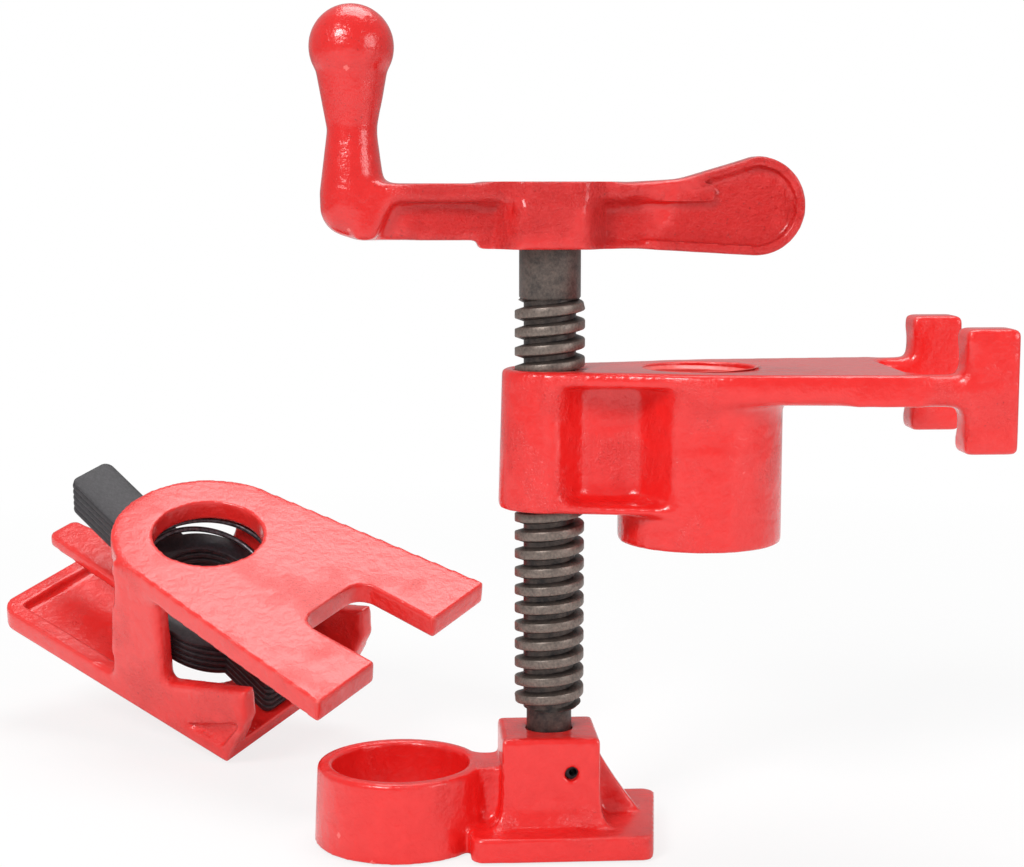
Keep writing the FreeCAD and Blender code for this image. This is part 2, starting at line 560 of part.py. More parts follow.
def make_tail_casting():
    body = new_body("tail_casting")
    bind(body, "Placement", TAIL)
    walls = new_sketch(body, "wall_side", "XZ")
    corner = "(post_right + window_slope)"
    draw_outline(walls, [
        ("-post_left", "-1"), ("-post_left - 2", "-tail_tall + 1"), ("tail_jaw_right", "-tail_tall + 1"),
        ("cheek_reach", "-cheek_end"), ("cheek_reach - 1", "-cheek_top"), (corner, "-window_low"),
        ("post_right", "-1")])
    extrude(body, "Pad", "wall_block", walls, "2 * tail_half", side="Symmetric")
    plate = new_sketch(body, "tail_plan", "XY")
    lean = "(acos(tail_arch / sqrt(tail_feet^2 + tail_feet_half^2)) - atan(tail_feet / tail_feet_half))"
    start_x, start_y = "-tail_arch * sin(%s)" % lean, "tail_arch * cos(%s)" % lean
    notch = "tail_feet - tail_notch_deep"
    draw_outline(plate, [
        (start_x, start_y), ("arc", "0", "0", "x", 1), (start_x, "-" + start_y),
        ("tail_feet", "-tail_feet_half"), ("tail_feet", "-tail_notch_half"),
        (notch, "-tail_notch_half"), (notch, "tail_notch_half"), ("tail_feet", "tail_notch_half"),
        ("tail_feet", "tail_feet_half")])
    extrude(body, "Pad", "upper_plate", plate, "tail_thick", reverse=True)
    round_edges(body, "tail_notch_rounds", "tail_notch_corner",
                upright_at(*both_sides([(notch, "tail_notch_half")])))
    jaw = new_sketch(body, "tail_jaw_plan", "XY", z="-tail_tall")
    draw_outline(jaw, [("-tail_jaw_left", "-tail_half"), ("tail_jaw_right", "-tail_half"),
                       ("tail_jaw_right", "tail_half"), ("-tail_jaw_left", "tail_half")])
    extrude(body, "Pad", "tail_jaw", jaw, "tail_jaw_thick")
    round_edges(body, "tail_jaw_rounds", "tail_jaw_corner",
                upright_at(*both_sides([("-tail_jaw_left", "tail_half")])))
    inside = "(tail_half - tail_wall)"
    cavity = new_sketch(body, "cavity_plan", "XY", z="-tail_thick")
    draw_outline(cavity, [("-tail_jaw_left", "-" + inside), ("tail_feet", "-" + inside),
                          ("tail_feet", inside), ("-tail_jaw_left", inside)])
    extrude(body, "Pocket", "cavity", cavity, "tail_tall - tail_thick - tail_jaw_thick")
    tray = new_sketch(body, "tray_plan", "XY", z="-tail_tall + tail_jaw_thick")
    rim = "(-tail_jaw_left + tray_rim)"
    draw_outline(tray, [(rim, "-tail_half + tray_rim"), ("-post_left - tray_rim", "-tail_half + tray_rim"),
                        ("-post_left - tray_rim", "tail_half - tray_rim"), (rim, "tail_half - tray_rim")])
    extrude(body, "Pocket", "tray", tray, "tray_deep")
    thumb = new_sketch(body, "thumb_plan", "XY", z="-thumb_drop - thumb_thick")
    root = "-%s - bar_wide" % BAR_EDGE
    shape = [("-thumb_reach", "thumb_end_half"), (root + " - thumb_taper", "thumb_root_half"), (root, "bar_half"),
             ("-post_left - 1", "tail_half - 0.5"), ("-post_left + 2", "tail_half - 0.5")]
    draw_outline(thumb, [(x, "-(%s)" % y) for x, y in shape] + shape[::-1])
    extrude(body, "Pad", "thumb_rest", thumb, "thumb_thick")
    round_edges(body, "thumb_rounds", "thumb_corner",
                upright_at(*both_sides([("-thumb_reach", "thumb_end_half")])))
    bar = new_sketch(body, "bar_side", "XZ")
    draw_outline(bar, [("-%s - bar_wide" % BAR_EDGE, "-thumb_drop - thumb_thick"),
                       ("-" + BAR_EDGE, "-thumb_drop - thumb_thick"), ("-" + BAR_EDGE, BAR_TOP),
                       ("-%s - bar_wide" % BAR_EDGE, BAR_TOP)])
    extrude(body, "Pad", "cross_bar", bar, "2 * bar_half", side="Symmetric")
    gusset_low = "-tail_tall + tail_jaw_thick - gusset_edge"
    for name, side in (("near", "tail_half - gusset_deep"), ("far", "-tail_half")):
        gusset = new_sketch(body, "gusset_" + name, "XZ", z=side)
        draw_outline(gusset, [("tail_jaw_right - gusset_base", gusset_low),
                              ("tail_jaw_right - gusset_edge", gusset_low),
                              ("cheek_reach - gusset_edge", "-cheek_end - gusset_edge")])
        extrude(body, "Pocket", "gusset_hollow_" + name, gusset, "gusset_deep", reverse=True)
    pipe = new_sketch(body, "tail_pipe", "XY")
    draw_circle(pipe, "tail_bore")
    extrude(body, "Pocket", "tail_bores", pipe, "tail_tall")
    return body


# Clutch plate: round middle with the pipe hole, a tab to squeeze and a toe
def make_clutch_plate(number):
    body = new_body("clutch_plate_%d" % number)
    level = "(%s + %d * clutch_thick / cos(clutch_tilt))" % (SEAT, number - 1)
    place(body, z=level, turn="0; clutch_tilt; 0", carrier=TAIL)
    plan = new_sketch(body, "clutch_plan_%d" % number, "XY")
    tab_root = "sqrt(clutch_disc^2 - clutch_tab_half^2)"
    toe_root = "sqrt(clutch_disc^2 - clutch_toe_half^2)"
    draw_outline(plan, [
        ("-clutch_tab", "-clutch_tab_half"), ("-" + tab_root, "-clutch_tab_half"),
        ("arc", "0", "0", "x", 1), (toe_root, "-clutch_toe_half"),
        ("clutch_toe", "-clutch_toe_half"), ("clutch_toe", "clutch_toe_half"),
        (toe_root, "clutch_toe_half"), ("arc", "0", "0", "x", 1), ("-" + tab_root, "clutch_tab_half"),
        ("-clutch_tab", "clutch_tab_half")])
    extrude(body, "Pad", "clutch_blank_%d" % number, plan, "clutch_thick")
    hole = new_sketch(body, "clutch_hole_%d" % number, "XY", z="clutch_thick")
    draw_circle(hole, "clutch_bore")
    extrude(body, "Pocket", "clutch_bore_%d" % number, hole, "clutch_thick")
    round_edges(body, "clutch_corners_%d" % number, "clutch_corner",
                upright_at(*both_sides([("-clutch_tab", "clutch_tab_half"),
                                        ("clutch_toe", "clutch_toe_half")])))
    return body


def arc_from(start, tangent, corner, stop):
    """The arc from start to stop whose end tangents meet at corner."""
    chord_middle = (start + stop) * 0.5
    turn = tangent.getAngle(stop - corner)
    if turn < 1e-6:
        return Part.LineSegment(start, stop).toShape()
    radius = (corner - start).Length / math.tan(turn / 2)
    outward = (corner - chord_middle).normalize()
    middle = corner - outward * (radius / math.cos(turn / 2) - radius)
    return Part.Arc(start, middle, stop).toShape()


def biarc(start, leaving, stop, arriving):
    """Two arcs that join two points with the given unit tangents."""
    chord = stop - start
    tangents = leaving + arriving
    spread = 2 * (1 - leaving.dot(arriving))
    reach = (-chord.dot(tangents) + math.sqrt(chord.dot(tangents) ** 2 + spread * chord.dot(chord))) / spread
    first = start + leaving * reach
    second = stop - arriving * reach
    middle = (first + second) * 0.5
    return [arc_from(start, leaving, first, middle), arc_from(middle, (second - middle), second, stop)]


# Clutch spring: an open coil between the upper plate and the tilted clutch plates
def spring_point(turn):
    """The wire's centre after so many turns, in the tail stop's frame."""
    angle = 2 * math.pi * turn
    radius, wire = size("spring_coil"), size("spring_wire")
    x, y = -radius * math.cos(angle), radius * math.sin(angle)
    gap = size("casting_gap")
    upper = -size("tail_thick") - wire / 2 - gap
    seat = size("%s + clutch_stack" % SEAT)
    lower = seat - x * math.tan(math.radians(size("clutch_tilt"))) + wire / 2 + gap
    share = turn / size("spring_turns")
    return FreeCAD.Vector(x, y, upper + (lower - upper) * share)


def spring_tangent(turn):
    step = 1e-4
    return (spring_point(turn + step) - spring_point(turn - step)).normalize()


def make_clutch_spring():
    turns, wire = size("spring_turns"), size("spring_wire")
    stops = [turns * index / (4 * turns) for index in range(int(round(4 * turns)) + 1)]
    edges = []
    for here, there in zip(stops, stops[1:]):
        edges += biarc(spring_point(here), spring_tangent(here), spring_point(there), spring_tangent(there))
    path = Part.Wire(edges)
    circle = Part.Circle(spring_point(0), edges[0].tangentAt(edges[0].FirstParameter), wire / 2)
    shell = Part.BRepOffsetAPI.MakePipeShell(path)
    shell.add(Part.Wire(circle.toShape()))
    shell.build()
    shell.makeSolid()
    spring = doc.addObject("Part::Feature", "clutch_spring")
    spring.Label = "clutch_spring"
    spring.Shape = shell.shape()
    bind(spring, "Placement", TAIL)
    samples = [spring_point(turns * index / 400) for index in range(401)]
    far_apart = int(400 * 0.5 / turns)
    gap = min((samples[a] - samples[b]).Length for a in range(401) for b in range(a + far_apart, 401))
    print("spring: least gap to itself %.2f mm, wire %.2f mm, length %.1f mm, volume %.1f against %.1f" % (
        gap - wire, wire, path.Length, spring.Shape.Volume, math.pi * wire ** 2 / 4 * path.Length))
    return spring


pieces = [make_moving_jaw(), make_retaining_pin(), make_screw(), make_crank_handle(), make_head_casting(),
          make_tail_casting()]
pieces += [make_clutch_plate(number) for number in range(1, int(size("clutch_count")) + 1)]
pieces.append(make_clutch_spring())
doc.recompute()

# Every object is computed, every cut takes metal away, and every piece is one valid solid
for item in doc.Objects:
    if "Invalid" in item.State or "Error" in item.State:
        raise RuntimeError("%s failed: %s" % (item.Name, item.State))
    if item.TypeId == "PartDesign::Pocket":
        before = item.BaseFeature.Shape.Volume
        if item.Shape.Volume > before - 0.1:
            raise RuntimeError("%s cuts nothing" % item.Name)
os.makedirs("parts", exist_ok=True)
for piece in pieces:
    shape = piece.Shape
    if shape.isNull() or not shape.isValid() or len(shape.Solids) != 1:
        raise RuntimeError("%s is not one valid solid" % piece.Label)
    box = shape.BoundBox
    print("%-16s %10.1f mm3  X %.1f %.1f  Y %.1f %.1f  Z %.1f %.1f" % (
        piece.Label, shape.Volume, box.XMin, box.XMax, box.YMin, box.YMax, box.ZMin, box.ZMax))
for piece in pieces:
    piece.Shape.exportStep("parts/%s.step" % piece.Label)
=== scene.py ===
import math

import bpy
from mathutils import Matrix, Vector


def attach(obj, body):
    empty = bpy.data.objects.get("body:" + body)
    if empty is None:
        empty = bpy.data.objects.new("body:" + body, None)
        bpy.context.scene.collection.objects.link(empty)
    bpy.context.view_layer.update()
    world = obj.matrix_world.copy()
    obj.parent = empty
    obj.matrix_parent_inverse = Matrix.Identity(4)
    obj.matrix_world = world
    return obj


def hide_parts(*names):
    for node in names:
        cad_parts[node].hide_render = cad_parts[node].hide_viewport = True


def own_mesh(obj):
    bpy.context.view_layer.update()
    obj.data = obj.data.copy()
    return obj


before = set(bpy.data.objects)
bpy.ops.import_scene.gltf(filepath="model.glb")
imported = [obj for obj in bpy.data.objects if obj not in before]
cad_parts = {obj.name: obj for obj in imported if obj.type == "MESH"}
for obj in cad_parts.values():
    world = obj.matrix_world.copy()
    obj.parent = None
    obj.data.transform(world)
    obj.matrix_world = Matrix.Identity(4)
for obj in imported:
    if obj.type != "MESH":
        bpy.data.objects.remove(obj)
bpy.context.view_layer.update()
print("frame loaded")

mm = 0.001

# Pipe clamp: four enamelled iron castings, a black screw, five clutch plates and their spring
castings = {
    "head_casting": {"piece": "headCasting", "body": "head", "voxel": 0.54, "smoothing": 20},
    "moving_jaw": {"piece": "movingJaw", "body": "base", "voxel": 0.45, "smoothing": 9},
    "crank_handle": {"piece": "crankHandle", "body": "crank_screw", "voxel": 0.45, "smoothing": 12},
    "tail_casting": {"piece": "tailStop", "body": "base", "voxel": 0.6, "smoothing": 7},
}

# Sizes repeated from the part's source, in millimetres
screw = {
    "pitch": 4.2333,      # six turns to the inch
    "crest": 8.0,
    "root": 5.95,
    "crestFlat": 1.75,    # along the axis
    "rootFlat": 1.0,
    "threadStart": 30.8,
    "threadEnd": 125.8,
    "runIn": 1.9,         # taper where the thread starts and ends
    "steps": 64,
    "neck": 5.2,
    "groove": 2.9,
    "pinHeight": 17.7,
    "grooveHalf": 1.78,
    "tip": 6.3,
    "shank": 7.0,
    "crankHeight": 136.6,
    "spigotTop": 147.6,
}
pipeThread = {
    "x": 34.6,
    "crest": 12.47,
    "root": 13.3,
    "pitch": 25.4 / 14,   # pipe thread, fourteen turns to the inch
    "top": 108.6,
    "low": 72.0,
    "steps": 72,
}
tail = {
    "origin": (-85.1, 77.7, 58.717),
    "turn": (-36.5, 18.0, 18.05),    # yaw, pitch and roll in degrees
    "plateThick": 6.4,
}
clutchPlate = {"edge": 0.28, "segments": 2}


def hexColour(text):
    parts = [int(text[place:place + 2], 16) / 255 for place in (1, 3, 5)]
    return [part / 12.92 if part <= 0.04045 else ((part + 0.055) / 1.055) ** 2.4 for part in parts] + [1.0]


def addNode(tree, kind, inputs=None, **settings):
    node = tree.nodes.new(kind)
    for name, value in settings.items():
        setattr(node, name, value)
    for name, value in (inputs or {}).items():
        if isinstance(value, bpy.types.NodeSocket):
            tree.links.new(value, node.inputs[name])
        else:
            node.inputs[name].default_value = value
    return node


def newMaterial(name):
    material = bpy.data.materials.new(name)
    material.use_nodes = True
    material.node_tree.nodes.clear()
    return material, material.node_tree


def setRamp(node, stops):
    ramp = node.color_ramp
    while len(ramp.elements) < len(stops):
        ramp.elements.new(0.5)
    for element, (place, colour) in zip(ramp.elements, stops):
        element.position = place
        element.color = colour if not isinstance(colour, (int, float)) else (colour, colour, colour, 1.0)
    return node


def makeMask(tree, value, stops):
    return setRamp(addNode(tree, "ShaderNodeValToRGB", {"Fac": value}), stops).outputs["Color"]


def finishMaterial(tree, shader):
    addNode(tree, "ShaderNodeOutputMaterial", {"Surface": shader.outputs[0]})


# One colour laid over another by a factor; each is a socket or a hex text
def mixColour(tree, factor, under, over):
    node = addNode(tree, "ShaderNodeMix", data_type="RGBA")
    colours = [socket for socket in node.inputs if socket.type == "RGBA"]
    tree.links.new(factor, node.inputs[0])
    for value, socket in ((under, colours[0]), (over, colours[1])):
        if isinstance(value, bpy.types.NodeSocket):
            tree.links.new(value, socket)
        else:
            socket.default_value = hexColour(value)
    return [socket for socket in node.outputs if socket.type == "RGBA"][0]


def multiply(tree, first, second):
    return addNode(tree, "ShaderNodeMath", {0: first, 1: second}, operation="MULTIPLY").outputs[0]


# Noise over the object itself, its features the given number of millimetres across
def makeNoise(tree, place, size, detail, roughness):
    return addNode(tree, "ShaderNodeTexNoise", {
        "Vector": place, "Scale": 1 / (size * mm), "Detail": detail, "Roughness": roughness}).outputs["Fac"]


# Gloss enamel sprayed over rough sand-cast iron: smooth to the touch, with the sand's grain telegraphing through
def makeEnamel(name, look):
    material, tree = newMaterial(name)
    place = addNode(tree, "ShaderNodeTexCoord").outputs["Object"]
    patches = makeNoise(tree, place, look["patchSize"], 3.0, 0.55)
    mottle = makeNoise(tree, place, look["mottleSize"], 4.0, 0.6)
    grain = makeNoise(tree, place, look["grainSize"], 4.0, 0.65)
    edges = addNode(tree, "ShaderNodeNewGeometry").outputs["Pointiness"]
    rough = makeMask(tree, patches, [(look["roughFrom"], 0.0), (look["roughFrom"] + look["roughBlend"], 1.0)])
    colour = mixColour(tree, mottle, look["deep"], look["face"])
    # pale paint on the outer edges is a painted highlight, where the gloss would catch the light
    paintedEdgeHighlightMask = makeMask(tree, edges, [(look["edgeHighlightFrom"], 0.0), (look["edgeHighlightFrom"] + look["paintedLightBlend"], 1.0)])
    colour = mixColour(tree, multiply(tree, paintedEdgeHighlightMask, look["edgeHighlightShare"]), colour, look["edge"])
    # darker paint in the corners and hollows is painted shade
    paintedShadeMask = makeMask(tree, edges, [(look["paintedShadeTo"] - look["paintedLightBlend"], 1.0), (look["paintedShadeTo"], 0.0)])
    colour = mixColour(tree, multiply(tree, paintedShadeMask, look["paintedShadeShare"]), colour, look["paintedCornerShade"])
    # dark specks where grit stands through the paint, only in the rough patches
    specks = makeMask(tree, grain, [(0.62, 0.0), (0.7, 1.0)])
    speckMask = multiply(tree, multiply(tree, specks, rough), look["speckShare"])
    colour = mixColour(tree, speckMask, colour, look["speck"])
    # no grain where the casting was ground smooth
    along = addNode(tree, "ShaderNodeSeparateXYZ", {"Vector": place})
    grained = addNode(tree, "ShaderNodeMapRange", {
        "Value": along.outputs["X"], "From Min": (look["smoothBelow"] - look["smoothBlend"]) * mm,
        "From Max": (look["smoothBelow"] + look["smoothBlend"]) * mm})
    grainDepth = multiply(tree, grain, multiply(tree, rough, grained.outputs[0]))
    height = addNode(tree, "ShaderNodeMath", {0: grainDepth, 1: look["grainShare"], 2: mottle},
                     operation="MULTIPLY_ADD")
    bump = addNode(tree, "ShaderNodeBump", {
        "Strength": look["bump"], "Distance": look["bumpDepth"] * mm, "Height": height.outputs[0]})
    shader = addNode(tree, "ShaderNodeBsdfPrincipled", {
        "Base Color": colour, "Roughness": look["roughness"], "IOR": 1.5, "Coat Weight": look["coat"],
        "Coat Roughness": 0.12, "Normal": bump.outputs["Normal"]})
    finishMaterial(tree, shader)
    return material


enamelLook = {
    # the pale edge colour is a painted highlight and the dark corner colour is painted shade
    "face": "#F42A27", "deep": "#E21513", "edge": "#FF7F78", "paintedCornerShade": "#BE0C0D", "speck": "#7A0F0E",
    "patchSize": 16.0, "mottleSize": 3.2,
    "grainSize": 0.7,     # sand grain, 0.3 mm on the real one, drawn coarser so that it shows
    "roughFrom": 0.5, "roughBlend": 0.16, "edgeHighlightFrom": 0.53, "paintedLightBlend": 0.05, "edgeHighlightShare": 0.55,
    "paintedShadeTo": 0.47, "paintedShadeShare": 0.5,
    "speckShare": 0.45, "grainShare": 1.2, "bump": 0.85, "bumpDepth": 0.5, "roughness": 0.25, "coat": 0.5,
    "smoothBelow": -1000.0,    # the surface is smooth, without grain, where X is below this
    "smoothBlend": 3.0,
}
enamel = makeEnamel("glossEnamelOnCastIron", enamelLook)
tailLook = dict(enamelLook, face="#F73A36", deep="#EA2320", speckShare=0.6, roughFrom=0.5)
tailEnamel = makeEnamel("speckledEnamelOnCastIron", tailLook)
smoothLook = dict(enamelLook, face="#EA2523", deep="#D51311", roughFrom=0.32, grainSize=1.0, grainShare=2.6,
                  bump=1.0, smoothBelow=-34.0)
crankEnamel = makeEnamel("handleEnamelOnCastIron", smoothLook)


# Cut steel with a black oxide finish under a film of oil: brownish black, the crests rubbed lighter
def makeBlackScrew(look):
    material, tree = newMaterial("blackOxideSteel")
    place = addNode(tree, "ShaderNodeTexCoord").outputs["Object"]
    flat = addNode(tree, "ShaderNodeVectorMath", {0: place, 1: (1.0, 1.0, 0.0)}, operation="MULTIPLY")
    radius = addNode(tree, "ShaderNodeVectorMath", {0: flat.outputs[0]}, operation="LENGTH")
    crest = addNode(tree, "ShaderNodeMapRange", {
        "Value": radius.outputs["Value"], "From Min": look["low"] * mm, "From Max": look["high"] * mm})
    grime = makeNoise(tree, place, look["grimeSize"], 4.0, 0.7)
    chips = makeNoise(tree, place, look["chipSize"], 3.0, 0.6)
    oxide = makeMask(tree, grime, [(0.35, hexColour(look["dark"])), (0.68, hexColour(look["brown"]))])
    colour = mixColour(tree, multiply(tree, crest.outputs[0], chips), oxide, look["bright"])
    bump = addNode(tree, "ShaderNodeBump", {"Strength": 0.45, "Distance": 0.12 * mm, "Height": chips})
    shader = addNode(tree, "ShaderNodeBsdfPrincipled", {
        "Base Color": colour, "Metallic": 0.55, "Roughness": 0.42, "Normal": bump.outputs["Normal"]})
    finishMaterial(tree, shader)
    return material


blackSteel = makeBlackScrew({
    "low": 6.6, "high": 8.0, "grimeSize": 2.4, "chipSize": 0.6, "dark": "#2F2B2B", "brown": "#5E524C",
    "bright": "#9A8C82"})


# Sheared spring-steel plate, painted satin black: flat faces under a faint dusty mottle
def makePlatePaint(name, look):
    material, tree = newMaterial(name)
    place = addNode(tree, "ShaderNodeTexCoord").outputs["Object"]
    dust = makeNoise(tree, place, look["dustSize"], 5.0, 0.7)
    colour = makeMask(tree, dust, [(0.35, hexColour(look["dark"])), (0.72, hexColour(look["light"]))])
    bump = addNode(tree, "ShaderNodeBump", {"Strength": 0.4, "Distance": 0.1 * mm, "Height": dust})
    shader = addNode(tree, "ShaderNodeBsdfPrincipled", {
        "Base Color": colour, "Metallic": look["metallic"], "Roughness": look["roughness"],
        "Normal": bump.outputs["Normal"]})
    finishMaterial(tree, shader)
    return material


platePaint = makePlatePaint("satinBlackPlate", {
    "dustSize": 0.9, "dark": "#1B191C", "light": "#383439", "metallic": 0.1, "roughness": 0.45})
springSteel = makePlatePaint("oilTemperedWire", {
    "dustSize": 1.2, "dark": "#3A383B", "light": "#7E7A80", "metallic": 0.8, "roughness": 0.35})
pinSteel = makePlatePaint("blackRollPin", {
    "dustSize": 0.8, "dark": "#1C191B", "light": "#39363A", "metallic": 0.5, "roughness": 0.4})
print("materials made")


def deselect():
    if bpy.context.object and bpy.context.object.mode != "OBJECT":
        bpy.ops.object.mode_set(mode="OBJECT")
    bpy.ops.object.select_all(action="DESELECT")


def makeActive(piece):
    deselect()
    piece.select_set(True)
    bpy.context.view_layer.objects.active = piece


def applyModifier(piece, kind, **settings):
    makeActive(piece)
    bpy.ops.object.modifier_add(type=kind)
    modifier = piece.modifiers[-1]
    for name, value in settings.items():
        setattr(modifier, name, value)
    bpy.ops.object.modifier_apply(modifier=modifier.name)


def givePaint(piece, material):
    piece.data.materials.clear()
    piece.data.materials.append(material)


def copyNode(node, name):
    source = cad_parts[node]
    piece = bpy.data.objects.new(name, source.data.copy())
    bpy.context.scene.collection.objects.link(piece)
    makeActive(piece)
    bpy.ops.object.mode_set(mode="EDIT")
    bpy.ops.mesh.select_all(action="SELECT")
    bpy.ops.mesh.remove_doubles(threshold=1e-6)
    bpy.ops.object.mode_set(mode="OBJECT")
    return piece


def smoothShade(piece, angle=None):
    makeActive(piece)
    if angle is None:
        bpy.ops.object.shade_smooth()
    else:
        bpy.ops.object.shade_smooth_by_angle(angle=math.radians(angle))


tailFrame = (Matrix.Translation(Vector(tail["origin"]) * mm)
             @ Matrix.Rotation(math.radians(tail["turn"][0]), 4, "Z")
             @ Matrix.Rotation(math.radians(tail["turn"][1]), 4, "Y")
             @ Matrix.Rotation(math.radians(tail["turn"][2]), 4, "X"))


# 0 below low, 1 above high, and a smooth way between
def ease(value, low, high):
    share = min(max((value - low) / (high - low), 0.0), 1.0)
    return share * share * (3 - 2 * share)


# Smooths only what lies in a box, fading out over the margin: a cast fillet
def soften(piece, low, high, margin, rounds):
    group = piece.vertex_groups.new(name="soft")
    for vertex in piece.data.vertices:
        spot = vertex.co / mm
        share = 1.0
        for axis in range(3):
            share *= ease(spot[axis], low[axis] - margin, low[axis])
            share *= 1 - ease(spot[axis], high[axis], high[axis] + margin)
        if share > 0.01:
            group.add([vertex.index], share, "REPLACE")
    applyModifier(piece, "SMOOTH", factor=0.5, iterations=rounds, vertex_group=group.name)
    piece.vertex_groups.clear()


# The handle's hub runs back into the web in a curve, its flange thins out along the paddle
crank = {
    "underside": 136.6, "gripSide": -30.0, "flatHalf": 6.5, "flankEnd": 13.0, "web": 3.0, "hub": 12.0,
    "hubRelief": 1.0, "flange": 7.0, "flangeLow": 10.4, "ribEnd": 38.0, "ribRunOut": 1.5,
    "armTop": 14.6, "armLimit": 15.4, "riseStart": 14.0, "riseEnd": 24.0, "rise": 10.0,
    "paddleStart": 21.0, "paddleHalf": 4.5, "paddleWeb": 2.5, "paddleRim": 1.7,
}


def shapeCrank(piece):
    for vertex in piece.data.vertices:
        x, y, z = vertex.co.x / mm, vertex.co.y / mm, vertex.co.z / mm - crank["underside"]
        ceiling = crank["armLimit"] + ease(x, crank["riseStart"], crank["riseEnd"]) * crank["rise"]
        if x < crank["gripSide"] or z > ceiling:
            continue
        fall = ease(abs(x), crank["flatHalf"], crank["flankEnd"])
        onPaddle = x > crank["paddleStart"]
        low = crank["hub"] + (crank["web"] - crank["hub"]) * fall
        top = crank["hub"] - crank["hubRelief"] + (crank["flange"] - crank["hub"] + crank["hubRelief"]) * fall
        if x > crank["flankEnd"] - 1:
            along = ease(x, crank["flankEnd"], crank["ribEnd"])
            ribLow = crank["flangeLow"] + 1.6 * along
            ribHigh = crank["armTop"] + 3 * (1 - along) - 1.2 * along
            rib = crank["flange"] + (crank["paddleWeb"] - crank["flange"]) * along
            low = crank["paddleWeb"] if z > crank["paddleRim"] else crank["paddleHalf"]
            onRib = x < crank["ribEnd"] + crank["ribRunOut"] and ribLow < z < ribHigh
            if onPaddle and (not onRib or z > ribHigh - 0.5):
                limit = crank["paddleHalf"]
            else:
                share = ease(z, ribLow - 0.7, ribLow + 0.5)
                limit = low + (rib - low) * share
        else:
            share = ease(z, crank["flangeLow"] - 0.8, crank["flangeLow"] + 0.5)
            limit = low + (top - low) * share
        if abs(y) > limit:
            vertex.co.y = math.copysign(limit, y) * mm
    soften(piece, (-46, -9, 136), (-33, 9, 166), 4, 90)       # elbow under the grip, and its waist
    soften(piece, (-18, -14, 136), (20, 14, 153), 3, 14)      # hub into its web
    soften(piece, (20, -9, 146), (42, 9, 156), 4, 80)         # end of the flange on the paddle


# The socket block stands straight and flares only at its foot
socket = {
    "right": 10.8, "left": 11.5, "front": 12.0, "back": 8.5, "flare": 3.0, "tall": 26.0, "plate": 5.6,
    "ribEnd": 21.5, "ringEdge": 16.0, "farEnd": 40.0, "foot": 2.0,
}


def shapeJaw(piece):
    for vertex in piece.data.vertices:
        x, y, z = vertex.co / mm
        if z < socket["plate"] or x < -socket["ringEdge"] or x > socket["ribEnd"]:
            continue
        old = socket["flare"] * (1 - z / socket["tall"])
        start = socket["flare"] * (1 - socket["plate"] / socket["tall"])
        new = start * math.exp(-(z - socket["plate"]) / socket["foot"])
        for axis, sign, side, end in ((0, 1, socket["right"], socket["ribEnd"]),
                                      (0, -1, socket["left"], socket["ringEdge"]),
                                      (1, -1, socket["front"], socket["farEnd"]),
                                      (1, 1, socket["back"], socket["farEnd"])):
            here = sign * (x, y)[axis]
            if here <= 0:
                continue
            edge = side + old
            if here <= edge + 0.4:
                moved = here * (side + new) / edge
            else:
                moved = here + (new - old) * max(1 - (here - edge) / max(end - edge, 0.1), 0)
            vertex.co[axis] = sign * moved * mm
    soften(piece, (-20, -22, 1), (-12, 9, 17), 2, 14)        # ring into plate and block
    soften(piece, (9, -6, 4), (24, 6, 9), 2, 6)


def shapeHead(piece):
    for side in (-1, 1):
        near, far = sorted((side * 4, side * 22))
        soften(piece, (1, near, 79), (29, far, 104.5), 2.5, 70)        # side pocket
        near, far = sorted((side * 8, side * 26))
        soften(piece, (30, near, 95), (62, far, 103.5), 4, 130)        # boss under the plate
    soften(piece, (82, -30, 98), (93, 30, 114), 3, 70)                 # plate into the feet


def shapeTail(piece):
    soften(piece, (-16, -28, -40), (8, 28, -34), 3, 50)                # walls into the jaw plate
    soften(piece, (-14, -30, -14), (8, 30, -7.4), 3, 50)               # walls into the upper plate
    soften(piece, (5, -30, -31), (40, 30, -17), 3, 30)                 # walls into the cheeks


# Castings: the CAD's shape with the soft edges that sand casting and thick paint leave
paints = {"head_casting": enamel, "moving_jaw": enamel, "crank_handle": crankEnamel, "tail_casting": tailEnamel}
shapedFirst = {"moving_jaw": shapeJaw, "crank_handle": shapeCrank}
shapedLast = {"head_casting": shapeHead, "tail_casting": shapeTail}
pieces = {}
for node, recipe in castings.items():
    piece = copyNode(node, recipe["piece"])
    own = tailFrame if node == "tail_casting" else Matrix.Identity(4)    # the voxels lie along the plates
    piece.data.transform(own.inverted())
    applyModifier(piece, "REMESH", mode="VOXEL", voxel_size=recipe["voxel"] * mm, adaptivity=0.0)
    if node in shapedFirst:
        shapedFirst[node](piece)
    applyModifier(piece, "SMOOTH", factor=0.5, iterations=recipe["smoothing"])
    if node in shapedLast:
        shapedLast[node](piece)
    piece.data.transform(own)
    smoothShade(piece)
    givePaint(piece, paints[node])
    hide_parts(node)
    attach(piece, recipe["body"])
    pieces[node] = piece
    print("cast", recipe["piece"], len(piece.data.polygons))


# A thread's surface: one pitch of its outline, given as (radius, height), wound up the Z axis
def helixSurface(name, outline, pitch, start, turns, steps):
    mesh = bpy.data.meshes.new(name)
    mesh.from_pydata([(radius * mm, 0, (start + height) * mm) for radius, height in outline],
                     [(index, index + 1) for index in range(len(outline) - 1)], [])
    piece = bpy.data.objects.new(name, mesh)
    bpy.context.scene.collection.objects.link(piece)
    applyModifier(piece, "SCREW", angle=2 * math.pi, screw_offset=pitch * mm, iterations=turns, steps=steps,
                  render_steps=steps, use_merge_vertices=True, merge_threshold=1e-6)
    return piece


# Cuts the piece flat at a height and closes the cut
def trimLevel(piece, height, keepAbove):
    makeActive(piece)
    bpy.ops.object.mode_set(mode="EDIT")
    bpy.ops.mesh.select_all(action="SELECT")
    bpy.ops.mesh.bisect(plane_co=(0, 0, height * mm), plane_no=(0, 0, 1), use_fill=True,
                        clear_inner=keepAbove, clear_outer=not keepAbove)
    bpy.ops.object.mode_set(mode="OBJECT")


